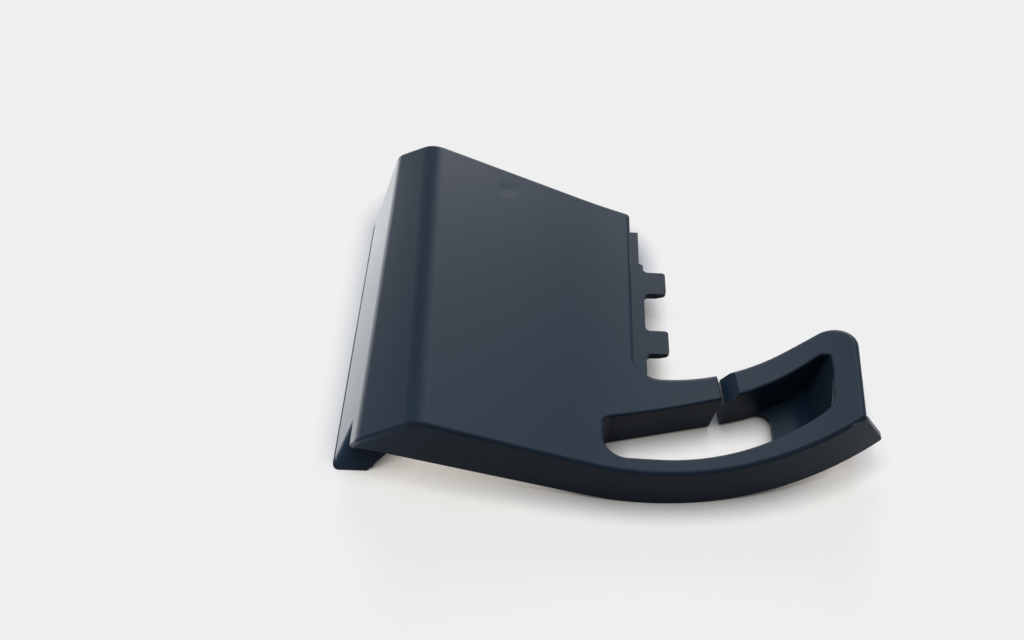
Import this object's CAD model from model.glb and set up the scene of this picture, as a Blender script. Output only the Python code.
# %% [markdown]
# # Moulded trim housing with a strap loop
#
# The real thing is one thin shell of dark plastic, shot into a textured steel
# mould. Everything about its looks comes from that: one colour all through, a fine
# matt grain on every outside face, soft edges where the mould was rounded, and the
# small marks that cooling leaves over a boss. So the CAD body is shown as it is and
# gets one careful material, and the rest of the file is a plain photo table.

# %% [markdown]
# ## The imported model
#
# It is one moulding, so there is one object, and nothing here moves or changes it: a
# mesh modelled by eye could be prettier but would no longer fit its mounts.

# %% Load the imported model
import bpy
import math
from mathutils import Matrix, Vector

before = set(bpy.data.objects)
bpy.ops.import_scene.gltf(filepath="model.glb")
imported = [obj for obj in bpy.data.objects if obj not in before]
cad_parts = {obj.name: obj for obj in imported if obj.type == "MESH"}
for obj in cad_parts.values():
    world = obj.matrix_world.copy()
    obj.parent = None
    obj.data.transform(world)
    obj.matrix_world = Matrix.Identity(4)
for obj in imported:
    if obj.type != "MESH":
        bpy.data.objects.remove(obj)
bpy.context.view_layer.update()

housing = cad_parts["housing"]

# %% [markdown]
# ## Camera
#
# The camera stands about half a metre off and looks down at 48 degrees, just off square
# to the front, so that the panel, the left wall and the loop all show. A longer lens
# would flatten the part; this one keeps a little perspective. The view transform is
# Standard, so a colour renders about as it is written.

# %% Camera
CAMERA_AT = (-0.022427, -0.317761, 0.355475)
CAMERA_TILT = 42.0       # degrees up from looking straight down
CAMERA_TURN = 2.5        # degrees to the left
SENSOR_WIDTH = 36.0      # mm
LENS = 42.1875           # mm

camera_data = bpy.data.cameras.new("camera")
camera_data.sensor_width = SENSOR_WIDTH
camera_data.lens = LENS
camera = bpy.data.objects.new("camera", camera_data)
camera.location = CAMERA_AT
camera.rotation_euler = (math.radians(CAMERA_TILT), 0.0, math.radians(CAMERA_TURN))
bpy.context.collection.objects.link(camera)
bpy.context.scene.camera = camera
bpy.context.scene.view_settings.view_transform = "Standard"
print("camera at", CAMERA_AT, "lens", LENS)

# %% [markdown]
# ## Node groups
#
# Each effect on a surface is a node group with named inputs and outputs, so that any
# other material in a file can use it with its own values. A group only measures: it
# puts out a height or a mask, and the material decides what to do with it. Three helpers
# take up what repeats: one adds a node with its values, one starts a group, and one
# places a group in a material.

# %% Helpers for nodes
def add_node(nodes, kind, values=None, **settings):
    node = nodes.new(kind)
    for name, setting in settings.items():
        setattr(node, name, setting)
    for socket, value in (values or {}).items():
        node.inputs[socket].default_value = value
    return node


def new_group(name, inputs, outputs):
    group = bpy.data.node_groups.new(name, "ShaderNodeTree")
    for kind, label, value in inputs:
        socket = group.interface.new_socket(label, in_out="INPUT", socket_type=kind)
        if value is not None:
            socket.default_value = value
    for kind, label in outputs:
        group.interface.new_socket(label, in_out="OUTPUT", socket_type=kind)
    start = group.nodes.new("NodeGroupInput")
    end = group.nodes.new("NodeGroupOutput")
    return group, start, end


def use_group(nodes, group):
    return add_node(nodes, "ShaderNodeGroup", node_tree=group)


print("helpers", add_node.__name__, new_group.__name__, use_group.__name__)

# %% [markdown]
# ## Moulded grain
#
# The steel mould is etched with acid, so the plastic comes out with a field of tiny
# round pits and softer hollows between them. Real pits would take millions of faces.
# Two noises, about 0.4 mm and 1.1 mm across, stand for them in a bump, and a third, slow
# one says where the grain is a little worn or dusty.

# %% Moulded grain
PITS_PER_METRE = 2600.0
HOLLOWS_PER_METRE = 900.0
PATCHES_PER_METRE = 26.0
HOLLOW_SHARE = 0.5       # how much the hollows add to the height of the pits


def grain_group():
    group, start, end = new_group(
        "moulded_grain",
        [("NodeSocketVector", "Position", None)],
        [("NodeSocketFloat", "Height"), ("NodeSocketFloat", "Patch")],
    )
    nodes, links = group.nodes, group.links
    fine = add_node(nodes, "ShaderNodeTexNoise", {"Scale": PITS_PER_METRE, "Detail": 3.0})
    coarse = add_node(nodes, "ShaderNodeTexNoise", {"Scale": HOLLOWS_PER_METRE, "Detail": 2.0})
    patch = add_node(nodes, "ShaderNodeTexNoise", {"Scale": PATCHES_PER_METRE, "Detail": 4.0})
    mix = add_node(nodes, "ShaderNodeMath", {1: HOLLOW_SHARE}, operation="MULTIPLY_ADD")
    for noise in (fine, coarse, patch):
        links.new(start.outputs["Position"], noise.inputs["Vector"])
    links.new(coarse.outputs["Fac"], mix.inputs[0])
    links.new(fine.outputs["Fac"], mix.inputs[2])
    links.new(mix.outputs[0], end.inputs["Height"])
    links.new(patch.outputs["Fac"], end.inputs["Patch"])
    return group


grain = grain_group()
print("group", grain.name)

# %% [markdown]
# ## Edges rubbed by handling
#
# Hands and packing polish the grain down where the surface turns sharply. Edges could be
# painted by hand, but the bevel node finds them on any mesh: it gives a rounded normal,
# and wherever that leaves the true normal there is an edge.

# %% Rubbed edges
RUBBED_WIDTH = 0.0007    # metres to each side of an edge
EDGE_STARTS = 0.995      # the two normals agree this well where rubbing starts
EDGE_FULL = 0.9          # and this well where the edge is fully rubbed


def edge_group():
    group, start, end = new_group(
        "rubbed_edges",
        [("NodeSocketFloat", "Radius", RUBBED_WIDTH)],
        [("NodeSocketFloat", "Edge")],
    )
    nodes, links = group.nodes, group.links
    bevel = add_node(nodes, "ShaderNodeBevel", samples=6)
    true = nodes.new("ShaderNodeNewGeometry")
    dot = add_node(nodes, "ShaderNodeVectorMath", operation="DOT_PRODUCT")
    ramp = add_node(nodes, "ShaderNodeMapRange", {"From Min": EDGE_STARTS, "From Max": EDGE_FULL})
    links.new(start.outputs["Radius"], bevel.inputs["Radius"])
    links.new(bevel.outputs["Normal"], dot.inputs[0])
    links.new(true.outputs["Normal"], dot.inputs[1])
    links.new(dot.outputs["Value"], ramp.inputs["Value"])
    links.new(ramp.outputs["Result"], end.inputs["Edge"])
    return group


edges = edge_group()
print("group", edges.name)

# %% [markdown]
# ## Sink mark
#
# The screw boss under the panel makes the plastic thick there. Thick plastic cools last
# and pulls the skin in by about a tenth of a millimetre, so a round hollow 11 mm across
# shows over the boss. It is too shallow to change the outline, so a bump is enough: the
# distance from the boss's axis gives its depth.

# %% Sink mark
SINK_AT = (-0.04029, 0.05331, 0.0232)
SINK_RADIUS = 0.0055


def sink_group():
    group, start, end = new_group(
        "sink_mark",
        [("NodeSocketVector", "Position", None), ("NodeSocketVector", "Centre", SINK_AT)],
        [("NodeSocketFloat", "Depth")],
    )
    nodes, links = group.nodes, group.links
    away = add_node(nodes, "ShaderNodeVectorMath", operation="DISTANCE")
    ramp = add_node(
        nodes,
        "ShaderNodeMapRange",
        {"From Min": 0.0, "From Max": SINK_RADIUS, "To Min": 1.0, "To Max": 0.0},
        interpolation_type="SMOOTHSTEP",
    )
    links.new(start.outputs["Position"], away.inputs[0])
    links.new(start.outputs["Centre"], away.inputs[1])
    links.new(away.outputs["Value"], ramp.inputs["Value"])
    links.new(ramp.outputs["Result"], end.inputs["Depth"])
    return group


sink = sink_group()
print("group", sink.name)

# %% [markdown]
# ## Dark blue grey plastic
#
# The colour goes all through the plastic, so it hardly changes over the part. What
# changes is the finish: matt where the grain is fresh, smoother on rubbed edges. A
# little sheen stands for light that skims the top of the grain, which makes the far,
# grazing part of the panel paler than the near part.

# %% Values of the plastic
PLASTIC = (0.0085, 0.0205, 0.0390, 1.0)
PLASTIC_PALER = (0.0100, 0.0230, 0.0425, 1.0)
RUBBED = (0.040, 0.046, 0.055, 1.0)
SPECULAR = 0.12
SHEEN = 0.2
SHEEN_ROUGHNESS = 0.25
ROUGH_LEAST = 0.36
ROUGH_MOST = 0.42
RUBBED_SMOOTHER = 0.10   # roughness lost on a rubbed edge
SINK_DEPTH = 0.00012     # metres
SINK_STRENGTH = 1.0
PIT_DEPTH = 0.00005
PIT_STRENGTH = 0.35
print("plastic from", PLASTIC, "to", PLASTIC_PALER)

# %% Dark blue grey plastic
def moulded_plastic():
    material = bpy.data.materials.new("moulded_plastic")
    material.use_nodes = True
    nodes, links = material.node_tree.nodes, material.node_tree.links
    shader = nodes["Principled BSDF"]
    shader.inputs["Specular IOR Level"].default_value = SPECULAR
    shader.inputs["Sheen Weight"].default_value = SHEEN
    shader.inputs["Sheen Roughness"].default_value = SHEEN_ROUGHNESS
    place = nodes.new("ShaderNodeTexCoord")
    use_grain = use_group(nodes, grain)
    use_edges = use_group(nodes, edges)
    use_sink = use_group(nodes, sink)
    links.new(place.outputs["Object"], use_grain.inputs["Position"])
    links.new(place.outputs["Object"], use_sink.inputs["Position"])

    # colour: a slow drift through the moulding, a little paler on rubbed edges
    drift = add_node(nodes, "ShaderNodeMix", data_type="RGBA")
    drift.inputs["A"].default_value = PLASTIC
    drift.inputs["B"].default_value = PLASTIC_PALER
    worn = add_node(nodes, "ShaderNodeMix", data_type="RGBA")
    worn.inputs["B"].default_value = RUBBED
    wear = add_node(nodes, "ShaderNodeMath", operation="MULTIPLY")
    links.new(use_grain.outputs["Patch"], drift.inputs["Factor"])
    links.new(use_edges.outputs["Edge"], wear.inputs[0])
    links.new(use_grain.outputs["Patch"], wear.inputs[1])
    links.new(wear.outputs[0], worn.inputs["Factor"])
    links.new(drift.outputs["Result"], worn.inputs["A"])
    links.new(worn.outputs["Result"], shader.inputs["Base Color"])

    # roughness: matt grain, a touch smoother where it is rubbed
    rough = add_node(nodes, "ShaderNodeMapRange", {"To Min": ROUGH_LEAST, "To Max": ROUGH_MOST})
    polish = add_node(nodes, "ShaderNodeMath", {1: -RUBBED_SMOOTHER}, operation="MULTIPLY_ADD")
    links.new(use_grain.outputs["Patch"], rough.inputs["Value"])
    links.new(use_edges.outputs["Edge"], polish.inputs[0])
    links.new(rough.outputs["Result"], polish.inputs[2])
    links.new(polish.outputs[0], shader.inputs["Roughness"])

    # bump: sink mark first, grain on top of it
    hollow = add_node(
        nodes,
        "ShaderNodeBump",
        {"Strength": SINK_STRENGTH, "Distance": SINK_DEPTH},
        invert=True,
    )
    pits = add_node(nodes, "ShaderNodeBump", {"Strength": PIT_STRENGTH, "Distance": PIT_DEPTH})
    links.new(use_sink.outputs["Depth"], hollow.inputs["Height"])
    links.new(use_grain.outputs["Height"], pits.inputs["Height"])
    links.new(hollow.outputs["Normal"], pits.inputs["Normal"])
    links.new(pits.outputs["Normal"], shader.inputs["Normal"])
    return material


plastic = moulded_plastic()
for slot in housing.material_slots:
    slot.material = plastic
print("material", plastic.name, "on", housing.name)

# %% [markdown]
# ## What the lens and reflections see
#
# A pale background could be made with strong lamps, but they would wash out the object
# too. Instead the floor and the room are pale only to rays from the lens and from glossy
# or clear surfaces. Light Path tells those rays apart. It has to stand in the material
# itself, not in a group, so a function adds the same three nodes wherever they're needed.

# %% Mask of the rays that see the background
def seen_rays(nodes, links):
    path = nodes.new("ShaderNodeLightPath")
    total = path.outputs["Is Camera Ray"]
    for kind in ("Is Glossy Ray", "Is Transmission Ray"):
        either = add_node(nodes, "ShaderNodeMath", operation="MAXIMUM")
        links.new(total, either.inputs[0])
        links.new(path.outputs[kind], either.inputs[1])
        total = either.outputs[0]
    return total


print("mask", seen_rays.__name__)

# %% [markdown]
# ## Paper
#
# The part lies on pale paper. To the lens the paper glows, as lit paper does on a white
# table. The glow is warm and the paper under it cool: together they are neutral, and
# where the object keeps the lamps off, the warm glow is left. The glow fades close to
# the object, where the paper sees little of the room, which grounds the part.

# %% Values of the paper
PAPER = (0.184, 0.234, 0.309, 1.0)
PAPER_PALER = (0.204, 0.254, 0.329, 1.0)
PAPER_GLOW = (0.70, 0.66, 0.60, 1.0)
PAPER_CAST = (0.12, 0.12, 0.12, 1.0)    # what the paper throws back at the object
WHITE = (1.0, 1.0, 1.0, 1.0)
FIBRES_PER_METRE = 900.0
CONTACT_REACH = 0.011    # metres from the object at which the glow starts to fade
CONTACT_POWER = 2.0
print("paper glows", PAPER_GLOW)

# %% Paper
def table_paper():
    material = bpy.data.materials.new("paper")
    material.use_nodes = True
    nodes, links = material.node_tree.nodes, material.node_tree.links
    nodes.clear()
    place = nodes.new("ShaderNodeTexCoord")
    fibre = add_node(nodes, "ShaderNodeTexNoise", {"Scale": FIBRES_PER_METRE})
    tone = add_node(nodes, "ShaderNodeMix", data_type="RGBA")
    tone.inputs["A"].default_value = PAPER
    tone.inputs["B"].default_value = PAPER_PALER
    paper = nodes.new("ShaderNodeBsdfDiffuse")
    glow = add_node(nodes, "ShaderNodeEmission", {"Color": PAPER_GLOW})
    cover = add_node(
        nodes,
        "ShaderNodeAmbientOcclusion",
        {"Distance": CONTACT_REACH, "Color": WHITE},
        samples=8,
    )
    deepen = add_node(nodes, "ShaderNodeMath", {1: CONTACT_POWER}, operation="POWER")
    both = nodes.new("ShaderNodeAddShader")
    dull = add_node(nodes, "ShaderNodeBsdfDiffuse", {"Color": PAPER_CAST})
    choose = nodes.new("ShaderNodeMixShader")
    out = nodes.new("ShaderNodeOutputMaterial")
    links.new(place.outputs["Object"], fibre.inputs["Vector"])
    links.new(fibre.outputs["Fac"], tone.inputs["Factor"])
    links.new(tone.outputs["Result"], paper.inputs["Color"])
    links.new(paper.outputs[0], both.inputs[0])
    links.new(cover.outputs["AO"], deepen.inputs[0])
    links.new(deepen.outputs[0], glow.inputs["Strength"])
    links.new(glow.outputs[0], both.inputs[1])
    links.new(seen_rays(nodes, links), choose.inputs["Fac"])
    links.new(dull.outputs[0], choose.inputs[1])
    links.new(both.outputs[0], choose.inputs[2])
    links.new(choose.outputs[0], out.inputs["Surface"])
    return material


paper = table_paper()
print("material", paper.name)

# %% [markdown]
# ## Photo table
#
# One flat face under the object is enough for a table top. It is twelve metres across,
# so its edge never comes into view, and it is marked as staging, so it isn't part of
# the model.

# %% Photo table
TABLE_HALF = 6.0         # metres


def table():
    size = TABLE_HALF
    mesh = bpy.data.meshes.new("floor")
    corners = [(-size, -size, 0), (size, -size, 0), (size, size, 0), (-size, size, 0)]
    mesh.from_pydata(corners, [], [(0, 1, 2, 3)])
    floor = bpy.data.objects.new("floor", mesh)
    bpy.context.collection.objects.link(floor)
    mesh.materials.append(paper)
    return floor


floor = table()
print("floor", floor.name)

# %% [markdown]
# ## Room
#
# The room is the world around the table. To the lens and in reflections it is the same
# pale tone as the paper, so no horizon shows. To the object it gives only a faint cool
# light from all round, which keeps the front skirt and the cup dark.

# %% Room
ROOM_SEEN = (0.855, 0.855, 0.855, 1.0)
ROOM_CAST = (0.96, 0.98, 1.0, 1.0)
ROOM_CAST_STRENGTH = 0.1


def room():
    world = bpy.data.worlds.new("room")
    bpy.context.scene.world = world
    world.use_nodes = True
    nodes, links = world.node_tree.nodes, world.node_tree.links
    nodes.clear()
    pale = add_node(nodes, "ShaderNodeBackground", {"Color": ROOM_SEEN})
    cast = add_node(
        nodes, "ShaderNodeBackground", {"Color": ROOM_CAST, "Strength": ROOM_CAST_STRENGTH}
    )
    choose = nodes.new("ShaderNodeMixShader")
    out = nodes.new("ShaderNodeOutputWorld")
    links.new(seen_rays(nodes, links), choose.inputs["Fac"])
    links.new(cast.outputs[0], choose.inputs[1])
    links.new(pale.outputs[0], choose.inputs[2])
    links.new(choose.outputs[0], out.inputs["Surface"])
    return world


print("world", room().name)

# %% [markdown]
# ## Lamps
#
# A broad soft light hangs overhead, leaning back a little. A window beyond the object
# skims the crown, so its far part is paler and the front skirt falls dark. Both are
# suns, because an area lamp near the floor would burn a bright patch into the paper.
# A pale card lies on the table beside the left wall and shines into it.

# %% Helpers for lamps
def soft_sun(name, towards, strength, angle):
    data = bpy.data.lights.new(name, "SUN")
    data.energy = strength
    data.angle = math.radians(angle)
    lamp = bpy.data.objects.new(name, data)
    lamp.rotation_euler = Vector(towards).to_track_quat("Z", "Y").to_euler()
    bpy.context.collection.objects.link(lamp)
    return lamp


def panel(name, place, target, width, depth, power):
    data = bpy.data.lights.new(name, "AREA")
    data.shape = "RECTANGLE"
    data.size = width
    data.size_y = depth
    data.energy = power
    lamp = bpy.data.objects.new(name, data)
    lamp.location = place
    lamp.rotation_euler = (Vector(target) - Vector(place)).to_track_quat("-Z", "Y").to_euler()
    lamp.visible_camera = False
    bpy.context.collection.objects.link(lamp)
    return lamp


print("helpers", soft_sun.__name__, panel.__name__)

# %% Lamps
CARD_AT = (-0.122, 0.01, 0.001)     # beside the left wall, just above the table
CARD_FACES = (-0.122, 0.01, 1.0)    # straight up
CARD_WIDTH = 0.05
CARD_DEPTH = 0.24
CARD_POWER = 0.158

soft_sun("overhead", towards=(0.0, 0.28, 0.96), strength=1.80, angle=45.0)
soft_sun("window", towards=(0.06, 0.85, 0.42), strength=1.40, angle=16.0)
panel("side_card", CARD_AT, CARD_FACES, CARD_WIDTH, CARD_DEPTH, CARD_POWER)
